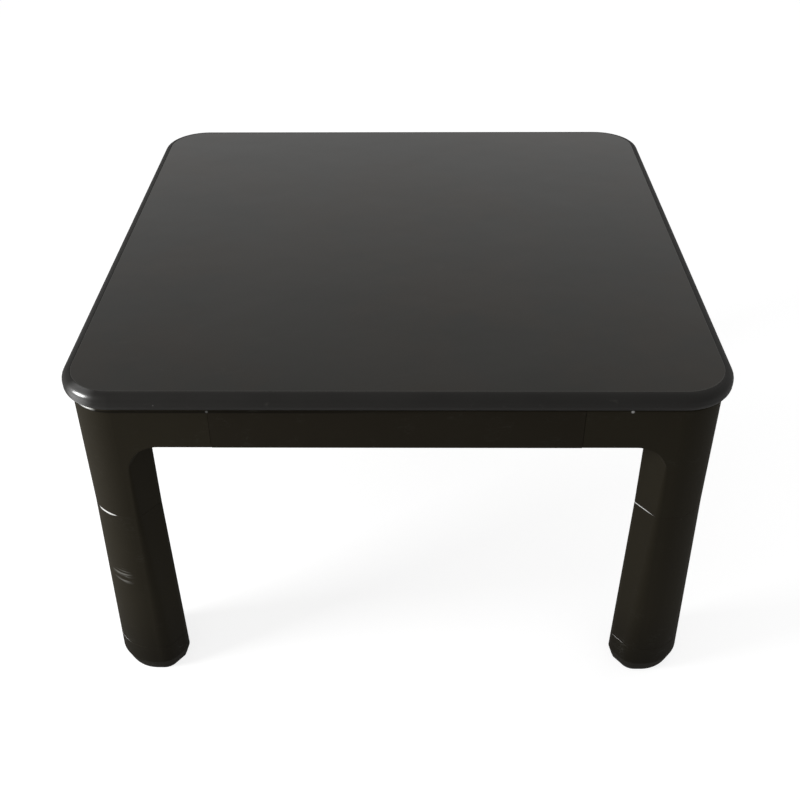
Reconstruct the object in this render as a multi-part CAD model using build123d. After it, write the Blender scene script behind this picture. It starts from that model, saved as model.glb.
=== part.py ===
from build123d import *

import os
from math import atan2, hypot, pi, sin, sqrt, tan

# A small square kotatsu: a loose tabletop on a moulded frame with plug-in legs, and an electric
# heater hung under its middle. Millimetres. The origin is on the floor under the table's centre,
# +Z is up, the front is towards -Y and the left towards -X.

# ---- Overall sizes ----
TABLE_WIDTH = 600.0
TABLE_DEPTH = 600.0
TABLE_HEIGHT = 360.0

# ---- Tabletop ----
TOP_THICKNESS = 18.0
TOP_CORNER_RADIUS = 50.0
LAMINATE_THICKNESS = 0.8
LAMINATE_CHAMFER = 0.25
EDGE_WIDTH = 8.0
EDGE_FLAT = 0.6
EDGE_LIP_ROUNDING = 0.5
TONGUE_DEPTH = 9.5
TONGUE_THICKNESS = 2.8
GROOVE_CLEARANCE = 0.1

# ---- Frame ----
TOP_OVERHANG = 7.0
TOP_GAP = 2.0
FRAME_CORNER_RADIUS = 42.0
APRON_HEIGHT = 40.8
APRON_DEPTH = 24.0
RAIL_DROP = 1.1
MOULD_WALL = 3.0
ARM_LENGTH = 127.0
FRAME_TOP_ROUNDING = 1.5
SEAM_CHAMFER = 0.5
RIB_THICKNESS = 2.0
RIB_SETBACK = 1.0
RIB_PITCH = 44.0
RAIL_END_WALL = 3.0
RAIL_TONGUE_LENGTH = 30.0
RAIL_TONGUE_BACK = 17.0
SLIDE_CLEARANCE = 0.3
BUMPER_LENGTH = 30.0
BUMPER_WIDTH = 12.0
BUMPER_SEAT = 1.0
BUMPER_ROUNDING = 3.0
BUMPER_FROM_SEAM = 34.0

# ---- Leg section, measured inward from the two outer faces of a corner ----
LEG_CREASE = 49.5
LEG_FACET_RUN = 18.0
LEG_FACET_DEPTH = 24.5
LEG_FLARE = 3.4
FACET_SWELL = 6.0
CREASE_ROUNDING_AT_FLOOR = 20.0
CREASE_ROUNDING_AT_APRON = 1.5
INNER_ROUNDING_AT_FLOOR = 12.0
INNER_ROUNDING_AT_SEAM = 3.5
SMALLEST_ROUNDING = 0.8
SMALLEST_FLAT = 0.1
SHORTEST_FACE = 3.0
WEB_RADIUS_FRONT = 30.0
WEB_RADIUS_BACK = 10.0
WEB_BURIED = 1.5
WEB_SETBACK = 1.0

# ---- Leg and foot ----
CORNER_LEG_LENGTH = 84.2
FOOT_SEAM_HEIGHT = 36.5
TENON_LENGTH = 28.0
LEG_DECK_DROP = 8.0
PEG_LENGTH = 22.0
PLUG_CLEARANCE = 0.4
PLUG_WALL = 2.6
LEG_SEAM_CHAMFER = 0.6
FOOT_TAPER = 4.0
FOOT_TAPER_HEIGHT = 11.0
GLIDE_HEIGHT = 4.0
GLIDE_SEAT = 2.0
GLIDE_INSET = 5.5
GLIDE_CHAMFER = 0.5

# ---- Leg bolt and nut plate ----
LEG_BOLT_RADIUS = 3.0
LEG_BOLT_HEAD_RADIUS = 5.25
LEG_BOLT_HEAD_HEIGHT = 3.3
LEG_BOLT_KEY = 4.0
LEG_BOLT_ABOVE_SEAM = 14.0
LEG_BOLT_TIP = 1.5
HOLE_CLEARANCE = 0.3
NUT_PLATE_WIDTH = 20.0
NUT_PLATE_HEIGHT = 14.0
NUT_PLATE_THICKNESS = 4.0
NUT_PLATE_ROUNDING = 2.0
THREAD_CLEARANCE = 0.05
PLATE_CLEARANCE = 0.2

# ---- Crossbars ----
CROSSBAR_WIDTH = 24.0
CROSSBAR_HEIGHT = 22.0
BAR_CHAMFER = 1.0
POCKET_WALL = 2.5

# ---- Screws: shank radius, shank length, head radius, head height ----
RAIL_SCREW = (1.9, 11.0, 4.0, 2.6)
CROSSBAR_SCREW = (2.0, 22.0, 4.0, 2.2)
BATTEN_SCREW = (2.2, 46.0, 4.2, 3.0)
HEATER_SCREW = (2.0, 14.0, 4.0, 2.2)
GUARD_SCREW = (1.45, 9.0, 2.7, 1.8)
RECESS_SHARE = 0.55
RECESS_WIDTH = 0.9

# ---- Heater unit ----
HEATER_WIDTH = 214.0
HEATER_CLEARANCE = 2.0
HEATER_FLANGE = 12.0
HEATER_SCREW_FROM_SIDE = 30.0
HEATER_SHEET = 1.0
HEATER_CORNER_RADIUS = 14.0
HEATER_HEIGHT = 44.7
RIM_WIDTH = 7.0
GUARD_HEIGHT = 10.0
GUARD_BORDER = 6.0
GUARD_ROUNDING = 2.0
GUARD_SCREW_FROM_SIDE = 47.0
GUARD_SCREW_BITE = 6.5
GUARD_WIRE_RADIUS = 1.4
GUARD_WIRE_STEP = 2.0
GUARD_WIRE_COUNT = 11
GUARD_WIRE_ABOVE_BASE = 2.5
REFLECTOR_SHEET = 0.8
REFLECTOR_FLANGE = 11.0
REFLECTOR_SLOPE = 35.0
REFLECTOR_CLEARANCE = 1.0
SPACE_OVER_REFLECTOR = 9.9
TUBE_RADIUS = 5.5
TUBE_WALL = 1.0
TUBE_HALF_PITCH = 34.0
TUBE_ABOVE_RIM = 14.0
TUBE_END_FROM_WALL = 9.0
TUBE_BEND_FROM_WALL = 75.0
TUBE_HOLE_CLEARANCE = 1.0
COIL_RADIUS = 2.4
HOLDER_SIZE = 18.0
HOLDER_THICKNESS = 9.5
HOLDER_CAP = 4.0
HOLDER_CHAMFER = 2.0
BRACKET_MARGIN = 7.0
CLIP_WIDTH = 6.0
INLET_WIDTH = 34.0
INLET_HEIGHT = 18.0
INLET_PROJECTION = 14.0
INLET_INSIDE = 5.0
INLET_WALL = 3.5
INLET_FLANGE = 3.0
INLET_FLANGE_THICKNESS = 1.5
INLET_FLANGE_ABOVE = 1.0
INLET_ROUNDING = 2.0
RECESS_ROUNDING = 3.0
PIN_RADIUS = 2.0
PIN_PITCH = 15.0
PIN_LENGTH = 20.0
PIN_TAIL = 4.0
THERMOSTAT_RADIUS = 8.5
THERMOSTAT_HEIGHT = 6.0
THERMOSTAT_TAB = 3.0
TAB_WIDTH = 5.0
TAB_THICKNESS = 1.0
FUSE_RADIUS = 2.0
FUSE_LENGTH = 14.0
FUSE_STRAP_WIDTH = 4.0
FUSE_STRAP_LENGTH = 10.0
THERMOSTAT_PLACE = (-20.0, 25.0)
FUSE_PLACE = (25.0, -25.0)
TERMINAL_START = 25.0
TERMINAL_LENGTH = 30.0
TERMINAL_DEPTH = 16.0
TERMINAL_HEIGHT = 12.0
TERMINAL_FROM_WALL = 11.0
TERMINAL_WELL_RADIUS = 3.0
LEAD_RADIUS = 1.2
LEAD_BEND = 3.5
LEAD_STUB = 6.0
LEAD_SWING = 20.0
LEAD_RISE = 2.0
FIT = 0.1

# ---- Worked out from the above ----
TOP_FACE = TABLE_HEIGHT
TOP_BOTTOM = TABLE_HEIGHT - TOP_THICKNESS
FRAME_TOP = TOP_BOTTOM - TOP_GAP
ARM_BOTTOM = FRAME_TOP - APRON_HEIGHT
RAIL_BOTTOM = ARM_BOTTOM - RAIL_DROP
FRAME_WIDTH = TABLE_WIDTH - 2 * TOP_OVERHANG
FRAME_DEPTH = TABLE_DEPTH - 2 * TOP_OVERHANG
TONGUE_LOW = ARM_BOTTOM + MOULD_WALL + SLIDE_CLEARANCE
TONGUE_HIGH = FRAME_TOP - MOULD_WALL - SLIDE_CLEARANCE
TONGUE_MIDDLE = (TONGUE_LOW + TONGUE_HIGH) / 2
BAR_TOP = FRAME_TOP - MOULD_WALL - SLIDE_CLEARANCE
BAR_BOTTOM = BAR_TOP - CROSSBAR_HEIGHT
BAR_PLACE = HEATER_WIDTH / 2 + HEATER_CLEARANCE + CROSSBAR_WIDTH / 2
CASE_TOP = BAR_TOP + HEATER_SHEET
RIM_LOW = CASE_TOP - HEATER_HEIGHT
RIM_HIGH = RIM_LOW + HEATER_SHEET
CASE_INNER = HEATER_WIDTH - 2 * HEATER_SHEET
REFLECTOR_LOW = RIM_HIGH + REFLECTOR_SHEET
REFLECTOR_TOP = BAR_TOP - SPACE_OVER_REFLECTOR
REFLECTOR_MOUTH = CASE_INNER - 2 * REFLECTOR_FLANGE
REFLECTOR_CROWN = REFLECTOR_MOUTH - 2 * REFLECTOR_SLOPE
GUARD_LOW = RIM_LOW - GUARD_HEIGHT
TUBE_LEVEL = REFLECTOR_LOW + TUBE_ABOVE_RIM
TUBE_END = HEATER_WIDTH / 2 - TUBE_END_FROM_WALL
TUBE_BEND_CENTRE = HEATER_WIDTH / 2 - TUBE_BEND_FROM_WALL
BRACKET_HALF_WIDTH = TUBE_HALF_PITCH + HOLDER_SIZE / 2 + BRACKET_MARGIN
LEG_SEAM_HEIGHT = ARM_BOTTOM - CORNER_LEG_LENGTH
BOLT_LEVEL = LEG_SEAM_HEIGHT + LEG_BOLT_ABOVE_SEAM
CORNER_ROUNDING = min(FRAME_CORNER_RADIUS, LEG_CREASE - WEB_SETBACK - SHORTEST_FACE)
LEG_INNER_LONG = LEG_CREASE + LEG_FACET_RUN
LEG_INNER_SHORT = LEG_FACET_DEPTH
FACET_DISTANCE = (LEG_INNER_LONG + LEG_INNER_SHORT) / sqrt(2)
FOOT_BOTTOM = GLIDE_HEIGHT
EDGE_ROUNDING = min(EDGE_WIDTH, TOP_THICKNESS / 2) - EDGE_FLAT


def block(x0, x1, y0, y1, z0, z1):
    """A box between two corners."""
    centre = Pos((x0 + x1) / 2, (y0 + y1) / 2, (z0 + z1) / 2)
    return centre * Box(abs(x1 - x0), abs(y1 - y0), abs(z1 - z0))


def rounded_plate(width, depth, radius, z0, z1):
    """A plate with rounded corners about the Z axis, from z0 up to z1."""
    return extrude(Pos(0, 0, z0) * RectangleRounded(width, depth, radius), z1 - z0)


def rod(start, end, radius):
    """A round rod from one point to another."""
    axis = Vector(*end) - Vector(*start)
    plane = Plane(origin=start, z_dir=axis)
    return extrude(plane * Circle(radius), axis.length)


def at_height(shape, z):
    """The edges of a shape that lie flat at height z."""
    near = 0.001
    return shape.edges().filter_by_position(Axis.Z, z - near, z + near)


# ---------------------------------------------------------------- fasteners


def screw(size, countersunk=False):
    """A cross-recessed screw that points down, with the underside of its head at the origin."""
    shank_radius, length, head_radius, head_height = size
    if countersunk:
        head = Pos(0, 0, -head_height / 2) * Cone(shank_radius, head_radius, head_height)
        head_top = 0.0
    else:
        head = Pos(0, 0, head_height / 2) * Cylinder(head_radius, head_height)
        head = fillet(at_height(head, head_height), head_height * RECESS_SHARE)
        head_top = head_height
    body = head + Pos(0, 0, -length / 2) * Cylinder(shank_radius, length)
    arm = head_radius * RECESS_SHARE
    depth = head_height * RECESS_SHARE
    half = RECESS_WIDTH / 2
    body -= block(-arm, arm, -half, half, head_top - depth, head_top)
    body -= block(-half, half, -arm, arm, head_top - depth, head_top)
    return body


def placed_screw(size, point, pointing, countersunk=False):
    """A screw whose head's underside is at a point and whose tip points along a direction."""
    away = Vector(*pointing) * -1
    return Plane(origin=point, z_dir=away).location * screw(size, countersunk)


# ---------------------------------------------------------------- tabletop


def tabletop_outline(inset, z0, z1):
    """A plate that follows the tabletop's outline, drawn in by an inset."""
    return rounded_plate(
        TABLE_WIDTH - 2 * inset, TABLE_DEPTH - 2 * inset, TOP_CORNER_RADIUS - inset, z0, z1
    )


def make_edge_moulding():
    """The soft edge: a rounded band with a tongue that grips a groove round the core."""
    middle = (TOP_FACE + TOP_BOTTOM) / 2
    band = tabletop_outline(0, TOP_BOTTOM, TOP_FACE)
    band = fillet(at_height(band, TOP_FACE) + at_height(band, TOP_BOTTOM), EDGE_ROUNDING)
    bore = tabletop_outline(EDGE_WIDTH, TOP_BOTTOM - 1, TOP_FACE + 1)
    band -= bore
    lip = [edge for edge in at_height(band, TOP_FACE) if inside_edge(edge)]
    band = fillet(lip, EDGE_LIP_ROUNDING)
    half = TONGUE_THICKNESS / 2
    tongue = tabletop_outline(EDGE_WIDTH, middle - half, middle + half)
    tongue -= tabletop_outline(EDGE_WIDTH + TONGUE_DEPTH, middle - half, middle + half)
    return band + tongue


def inside_edge(edge):
    """Whether an edge on the band's top face runs along its inner side."""
    point = edge @ 0.5
    reach_x = TABLE_WIDTH / 2 - abs(point.X)
    reach_y = TABLE_DEPTH / 2 - abs(point.Y)
    radius = TOP_CORNER_RADIUS
    if reach_x < radius and reach_y < radius:
        inset = radius - hypot(radius - reach_x, radius - reach_y)
    else:
        inset = min(reach_x, reach_y)
    return inset > (EDGE_WIDTH + EDGE_ROUNDING) / 2


def make_tabletop_core():
    """Particle board between the two laminates, grooved all round for the moulding's tongue."""
    middle = (TOP_FACE + TOP_BOTTOM) / 2
    half = TONGUE_THICKNESS / 2 + GROOVE_CLEARANCE
    low = TOP_BOTTOM + LAMINATE_THICKNESS
    high = TOP_FACE - LAMINATE_THICKNESS
    core = tabletop_outline(EDGE_WIDTH, low, high)
    groove = tabletop_outline(EDGE_WIDTH, middle - half, middle + half)
    floor_inset = EDGE_WIDTH + TONGUE_DEPTH + GROOVE_CLEARANCE
    groove -= tabletop_outline(floor_inset, middle - half, middle + half)
    return core - groove


def make_laminate(low, high, outer_face):
    """A laminate sheet with a fine chamfer round its outer face."""
    sheet = tabletop_outline(EDGE_WIDTH, low, high)
    return chamfer(at_height(sheet, outer_face), LAMINATE_CHAMFER)


# ---------------------------------------------------------------- leg section


def between(low, high, share):
    """The value a share of the way from low to high."""
    return low + share * (high - low)


def leg_face(z, inset=0.0):
    """The leg's five-sided section at height z, drawn in by an inset from its faces.

    The corner is at the origin with its outer faces on X = 0 and Y = 0. A facet runs inward from
    the crease on each outer face, and a third one faces the table's centre. Below the seam the
    faces lean out towards the floor, the facets most of all. Roundings that share a face keep
    within it.
    """
    spread = max(1 - z / LEG_SEAM_HEIGHT, 0)
    length = hypot(LEG_FACET_RUN, LEG_FACET_DEPTH)
    normal_x = LEG_FACET_DEPTH / length
    normal_y = -LEG_FACET_RUN / length
    outer = inset - spread * LEG_FLARE
    distance = normal_x * LEG_CREASE + spread * FACET_SWELL - inset
    diagonal = LEG_INNER_LONG + LEG_INNER_SHORT - outer * sqrt(2)
    crease = (distance - normal_y * outer) / normal_x
    inner = (distance - normal_y * diagonal) / (normal_x - normal_y)
    points = [
        (outer, outer, z),
        (crease, outer, z),
        (inner, diagonal - inner, z),
        (diagonal - inner, inner, z),
        (outer, crease, z),
    ]
    facet_turn = atan2(LEG_FACET_DEPTH, LEG_FACET_RUN)
    inner_turn = 3 * pi / 4 - facet_turn
    face_length = crease - outer
    corner_radius = min(CORNER_ROUNDING - inset, face_length - SMALLEST_ROUNDING)
    crease_room = (face_length - corner_radius - SMALLEST_FLAT) / tan(facet_turn / 2)
    rounding = between(CREASE_ROUNDING_AT_FLOOR, CREASE_ROUNDING_AT_APRON, min(z / ARM_BOTTOM, 1))
    crease_radius = min(max(rounding - inset, SMALLEST_ROUNDING), crease_room)
    facet_length = (diagonal - inner - outer) / sin(facet_turn)
    facet_left = facet_length - crease_radius * tan(facet_turn / 2) - SMALLEST_FLAT
    rounding = between(INNER_ROUNDING_AT_SEAM, INNER_ROUNDING_AT_FLOOR, spread)
    inner_radius = min(max(rounding - inset, SMALLEST_ROUNDING), facet_left / tan(inner_turn / 2))
    radii = [
        corner_radius,
        crease_radius,
        inner_radius,
        inner_radius,
        crease_radius,
    ]
    return make_face(FilletPolyline(points, radius=radii, close=True))


def leg_prism(z0, z1, inset=0.0, taper=0.0):
    """A solid with the leg's section from z0 up to z1, drawn in further by a taper at z0."""
    return loft([leg_face(z0, inset + taper), leg_face(z1, inset)], ruled=True)


def diagonal_frame(distance, z):
    """A frame on the corner's diagonal: Z looks at the table's centre and Y is up."""
    reach = distance / sqrt(2)
    return Plane(origin=(reach, reach, z), x_dir=(-1, 1, 0), z_dir=(1, 1, 0)).location


# ---------------------------------------------------------------- corner pieces


def web_face(y, swell, wall):
    """Section at depth y of the web under an arm, bounded by a concave arc.

    With wall = 0 it is the web's outside. With a wall it is the hollow behind that wall.
    """
    root = LEG_CREASE - WEB_SETBACK + LEG_FACET_RUN * y / LEG_FACET_DEPTH
    share = y / APRON_DEPTH
    radius = WEB_RADIUS_FRONT + share * (WEB_RADIUS_BACK - WEB_RADIUS_FRONT)
    centre_x = root + radius
    centre_z = ARM_BOTTOM - radius
    reach = radius + wall
    back = max(root - swell, CORNER_ROUNDING)
    rise = sqrt(reach**2 - radius**2)
    middle_x = centre_x - reach * sqrt((1 - rise / reach) / 2)
    middle_z = centre_z + reach * sqrt((1 + rise / reach) / 2)
    ceiling = ARM_BOTTOM + wall + WEB_BURIED
    arc = ThreePointArc(
        (centre_x, y, centre_z + reach), (middle_x, y, middle_z), (root, y, centre_z + rise)
    )
    sides = Polyline(
        (root, y, centre_z + rise),
        (back, y, centre_z + rise),
        (back, y, ceiling),
        (centre_x, y, ceiling),
        (centre_x, y, centre_z + reach),
    )
    return make_face(arc + sides)


def make_arm():
    """One apron arm along +X: a channel open at its back, with a web curving into the leg."""
    root = (CORNER_ROUNDING + LEG_CREASE) / 2
    overlap = MOULD_WALL / 2
    arm = block(root, ARM_LENGTH, 0, APRON_DEPTH, ARM_BOTTOM, FRAME_TOP)
    low = ARM_BOTTOM + MOULD_WALL
    high = FRAME_TOP - MOULD_WALL
    hollow = block(root, ARM_LENGTH, MOULD_WALL, APRON_DEPTH, low, high)
    arm -= hollow
    arm += loft([web_face(0, WEB_BURIED, 0), web_face(APRON_DEPTH, WEB_BURIED, 0)], ruled=True)
    arm -= loft(
        [web_face(MOULD_WALL, 0.01, MOULD_WALL), web_face(APRON_DEPTH, 0.01, MOULD_WALL)],
        ruled=True,
    )
    stop = ARM_LENGTH - RAIL_TONGUE_LENGTH - SLIDE_CLEARANCE
    arm += block(stop - RIB_THICKNESS, stop, overlap, APRON_DEPTH - RIB_SETBACK, low, high)
    boss_place = ARM_LENGTH - RAIL_TONGUE_LENGTH / 2
    boss_end = RAIL_TONGUE_BACK - MOULD_WALL - SLIDE_CLEARANCE
    boss_radius = 2 * RAIL_SCREW[0]
    arm += rod(
        (boss_place, overlap, TONGUE_MIDDLE), (boss_place, boss_end, TONGUE_MIDDLE), boss_radius
    )
    arm -= rod(
        (boss_place, MOULD_WALL, TONGUE_MIDDLE),
        (boss_place, boss_end, TONGUE_MIDDLE),
        RAIL_SCREW[0] + THREAD_CLEARANCE,
    )
    return arm


def bumper(z0, z1, grow):
    """A bumper's shape on an arm along +X, grown all round to cut its seat."""
    plate = rounded_plate(
        BUMPER_LENGTH + 2 * grow, BUMPER_WIDTH + 2 * grow, BUMPER_ROUNDING + grow, z0, z1
    )
    return Pos(ARM_LENGTH - BUMPER_FROM_SEAM, APRON_DEPTH / 2, 0) * plate


def swap_xy(shape):
    """The mirror image across a corner's diagonal."""
    return mirror(shape, Plane((0, 0, 0), z_dir=(1, -1, 0)))


def on_outline(point):
    """Whether a point lies on the frame's outer outline, in a corner's own frame."""
    radius = CORNER_ROUNDING
    near = 0.01
    if point.X < radius and point.Y < radius:
        return abs(hypot(radius - point.X, radius - point.Y) - radius) < near
    return min(point.X, point.Y) < near


def make_corner():
    """A corner piece: two apron arms and the upper part of the leg in one moulding."""
    arm = make_arm()
    corner = arm + swap_xy(arm)
    corner += leg_prism(LEG_SEAM_HEIGHT, ARM_BOTTOM) + leg_prism(ARM_BOTTOM, FRAME_TOP)
    corner -= leg_prism(LEG_SEAM_HEIGHT, ARM_BOTTOM, MOULD_WALL)
    corner -= leg_prism(ARM_BOTTOM, FRAME_TOP - MOULD_WALL, MOULD_WALL)
    rim = [edge for edge in at_height(corner, FRAME_TOP) if on_outline(edge @ 0.5)]
    corner = fillet(rim, FRAME_TOP_ROUNDING)
    seat = bumper(FRAME_TOP - BUMPER_SEAT, FRAME_TOP, FIT)
    corner -= seat
    corner -= swap_xy(seat)
    bolt_hole = diagonal_frame(FACET_DISTANCE, BOLT_LEVEL) * Cylinder(
        LEG_BOLT_RADIUS + HOLE_CLEARANCE, 4 * MOULD_WALL
    )
    return corner - bolt_hole


# ---------------------------------------------------------------- apron rails


def make_tongue(rail_half):
    """The tongue at a rail's +X end: a channel open towards the apron's face."""
    end = rail_half + RAIL_TONGUE_LENGTH
    front = MOULD_WALL + SLIDE_CLEARANCE
    tongue = block(rail_half, end, front, RAIL_TONGUE_BACK, TONGUE_LOW, TONGUE_HIGH)
    tongue -= block(
        rail_half,
        end,
        front,
        RAIL_TONGUE_BACK - MOULD_WALL,
        TONGUE_LOW + MOULD_WALL,
        TONGUE_HIGH - MOULD_WALL,
    )
    place = rail_half + RAIL_TONGUE_LENGTH / 2
    hole = rod(
        (place, RAIL_TONGUE_BACK - 2 * MOULD_WALL, TONGUE_MIDDLE),
        (place, RAIL_TONGUE_BACK + MOULD_WALL, TONGUE_MIDDLE),
        RAIL_SCREW[0] + HOLE_CLEARANCE,
    )
    return tongue - hole


def make_pocket(place):
    """The pocket behind a rail that holds a crossbar's end: two walls and a shelf."""
    half = CROSSBAR_WIDTH / 2 + SLIDE_CLEARANCE
    low = RAIL_BOTTOM + MOULD_WALL
    high = FRAME_TOP - MOULD_WALL
    front = MOULD_WALL
    walls = [
        block(place + side * half, place + side * (half + POCKET_WALL), front, APRON_DEPTH, low, high)
        for side in (-1, 1)
    ]
    shelf = block(
        place - half, place + half, front, APRON_DEPTH, BAR_BOTTOM - POCKET_WALL, BAR_BOTTOM
    )
    return walls[0] + walls[1] + shelf


def make_rail(frame_length, bar_places):
    """An apron rail along X with its outer face on Y = 0, centred on X = 0."""
    half = frame_length / 2 - ARM_LENGTH
    rail = block(-half, half, 0, APRON_DEPTH, RAIL_BOTTOM, FRAME_TOP)
    edges = rail.edges().filter_by(Axis.X).group_by(Axis.Y)[0]
    rail = fillet(edges, FRAME_TOP_ROUNDING)
    rail = chamfer(rail.edges().filter_by(Axis.Z).group_by(Axis.Y)[0], SEAM_CHAMFER)
    low = RAIL_BOTTOM + MOULD_WALL
    high = FRAME_TOP - MOULD_WALL
    inner = half - RAIL_END_WALL
    rail -= block(-inner, inner, MOULD_WALL, APRON_DEPTH, low, high)
    pocket_half = CROSSBAR_WIDTH / 2 + SLIDE_CLEARANCE + POCKET_WALL
    rib_count = int(inner // RIB_PITCH)
    for step in range(-rib_count, rib_count + 1):
        place = step * RIB_PITCH
        if all(abs(place - bar) > pocket_half + RIB_THICKNESS for bar in bar_places):
            half_rib = RIB_THICKNESS / 2
            back = APRON_DEPTH - RIB_SETBACK
            rail += block(place - half_rib, place + half_rib, MOULD_WALL / 2, back, low, high)
    for bar in bar_places:
        rail += make_pocket(bar)
        rail -= Pos(bar, APRON_DEPTH / 2, FRAME_TOP) * screw_hole(CROSSBAR_SCREW)
    tongue = make_tongue(half)
    rail += tongue
    rail += mirror(tongue, Plane.YZ)
    return rail


def screw_hole(size):
    """A countersunk hole whose mouth is at the origin, going down."""
    shank_radius, length, head_radius, head_height = size
    mouth = Pos(0, 0, -head_height / 2) * Cone(
        shank_radius + FIT, head_radius + FIT, head_height + FIT / 2
    )
    return mouth + Pos(0, 0, -length / 2) * Cylinder(shank_radius + FIT, length)


# ---------------------------------------------------------------- crossbars


def make_long_bar():
    """The right crossbar, from the front rail to the rear one, bored for its screws."""
    left = BAR_PLACE - CROSSBAR_WIDTH / 2
    right = BAR_PLACE + CROSSBAR_WIDTH / 2
    reach = FRAME_DEPTH / 2 - MOULD_WALL - SLIDE_CLEARANCE
    bar = block(left, right, -reach, reach, BAR_BOTTOM, BAR_TOP)
    bar = chamfer(bar.edges().filter_by(Axis.Y), BAR_CHAMFER)
    shank_radius, shank_length = CROSSBAR_SCREW[:2]
    middle = (BAR_TOP + BAR_BOTTOM) / 2
    for side in (-1, 1):
        y = side * (FRAME_DEPTH / 2 - APRON_DEPTH / 2)
        tip = FRAME_TOP - shank_length
        bar -= rod((BAR_PLACE, y, BAR_TOP), (BAR_PLACE, y, tip), shank_radius + THREAD_CLEARANCE)
        y = side * BAR_PLACE
        bar -= rod((left, y, middle), (right, y, middle), BATTEN_SCREW[0] + THREAD_CLEARANCE)
    shank_radius, shank_length = HEATER_SCREW[:2]
    for x, y in heater_screw_places():
        if x > 0:
            tip = CASE_TOP - shank_length
            bar -= rod((x, y, BAR_TOP), (x, y, tip), shank_radius + THREAD_CLEARANCE)
    return bar


def make_short_bar():
    """A batten between the two long crossbars, centred on Y = 0."""
    half_width = CROSSBAR_WIDTH / 2
    reach = BAR_PLACE - half_width
    bar = block(-reach, reach, -half_width, half_width, BAR_BOTTOM, BAR_TOP)
    bar = chamfer(bar.edges().filter_by(Axis.X), BAR_CHAMFER)
    middle = (BAR_TOP + BAR_BOTTOM) / 2
    depth = BATTEN_SCREW[1] - CROSSBAR_WIDTH
    for side in (-1, 1):
        bar -= rod(
            (side * reach, 0, middle),
            (side * (reach - depth), 0, middle),
            BATTEN_SCREW[0] + THREAD_CLEARANCE,
        )
    return bar


def heater_screw_places():
    """Where the heater's flange is screwed down to the long crossbars."""
    reach_x = HEATER_WIDTH / 2 + HEATER_FLANGE / 2 + HEATER_CLEARANCE / 2
    reach_y = HEATER_WIDTH / 2 - HEATER_SCREW_FROM_SIDE
    return [(sx * reach_x, sy * reach_y) for sx in (-1, 1) for sy in (-1, 1)]


# ---------------------------------------------------------------- legs and feet


def make_leg():
    """A hollow leg with a tenon on top, slotted on its inner side for the leg bolt."""
    deck = LEG_SEAM_HEIGHT - LEG_DECK_DROP
    leg = leg_prism(FOOT_SEAM_HEIGHT, LEG_SEAM_HEIGHT)
    leg = chamfer(at_height(leg, LEG_SEAM_HEIGHT), LEG_SEAM_CHAMFER)
    leg -= leg_prism(FOOT_SEAM_HEIGHT, deck, MOULD_WALL)
    tenon_inset = MOULD_WALL + PLUG_CLEARANCE
    tenon_top = LEG_SEAM_HEIGHT + TENON_LENGTH
    leg += leg_prism(deck + MOULD_WALL, tenon_top, tenon_inset)
    leg -= leg_prism(deck + MOULD_WALL, tenon_top, tenon_inset + PLUG_WALL)
    slot_half = LEG_BOLT_RADIUS + HOLE_CLEARANCE
    slot_depth = 4 * MOULD_WALL
    place = diagonal_frame(FACET_DISTANCE - MOULD_WALL, BOLT_LEVEL)
    above = tenon_top - BOLT_LEVEL
    leg -= place * Cylinder(slot_half, slot_depth)
    leg -= place * Pos(0, above, 0) * Box(2 * slot_half, 2 * above, slot_depth)
    return leg


def make_foot():
    """A hollow foot with a peg that plugs into the leg, and a seat for its glide."""
    taper_top = FOOT_BOTTOM + FOOT_TAPER_HEIGHT
    foot = leg_prism(taper_top, FOOT_SEAM_HEIGHT)
    foot = chamfer(at_height(foot, FOOT_SEAM_HEIGHT), LEG_SEAM_CHAMFER)
    foot += leg_prism(FOOT_BOTTOM, taper_top, 0, FOOT_TAPER)
    peg_inset = MOULD_WALL + PLUG_CLEARANCE
    floor = FOOT_BOTTOM + GLIDE_SEAT + MOULD_WALL
    foot += leg_prism(FOOT_SEAM_HEIGHT, FOOT_SEAM_HEIGHT + PEG_LENGTH, peg_inset)
    foot -= leg_prism(floor, FOOT_SEAM_HEIGHT + PEG_LENGTH, peg_inset + PLUG_WALL)
    foot -= leg_prism(FOOT_BOTTOM, FOOT_BOTTOM + GLIDE_SEAT, GLIDE_INSET - FIT)
    return foot


def make_glide():
    """A rubber glide set into the foot's underside."""
    glide = leg_prism(0, FOOT_BOTTOM + GLIDE_SEAT, GLIDE_INSET)
    return chamfer(at_height(glide, 0), GLIDE_CHAMFER)


def make_leg_bolt():
    """A button-head bolt through the corner piece's inner facet, with a hexagonal key socket."""
    length = MOULD_WALL + PLUG_CLEARANCE + PLUG_WALL + PLATE_CLEARANCE + NUT_PLATE_THICKNESS
    length += LEG_BOLT_TIP
    head = Pos(0, 0, LEG_BOLT_HEAD_HEIGHT / 2) * Cylinder(LEG_BOLT_HEAD_RADIUS, LEG_BOLT_HEAD_HEIGHT)
    head = fillet(at_height(head, LEG_BOLT_HEAD_HEIGHT), LEG_BOLT_HEAD_HEIGHT * RECESS_SHARE)
    socket_depth = LEG_BOLT_HEAD_HEIGHT * RECESS_SHARE
    socket = extrude(
        Pos(0, 0, LEG_BOLT_HEAD_HEIGHT - socket_depth) * RegularPolygon(LEG_BOLT_KEY / 2, 6, False),
        socket_depth,
    )
    shank = Pos(0, 0, -length / 2) * Cylinder(LEG_BOLT_RADIUS, length)
    return diagonal_frame(FACET_DISTANCE, BOLT_LEVEL) * (head + shank - socket)


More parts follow.
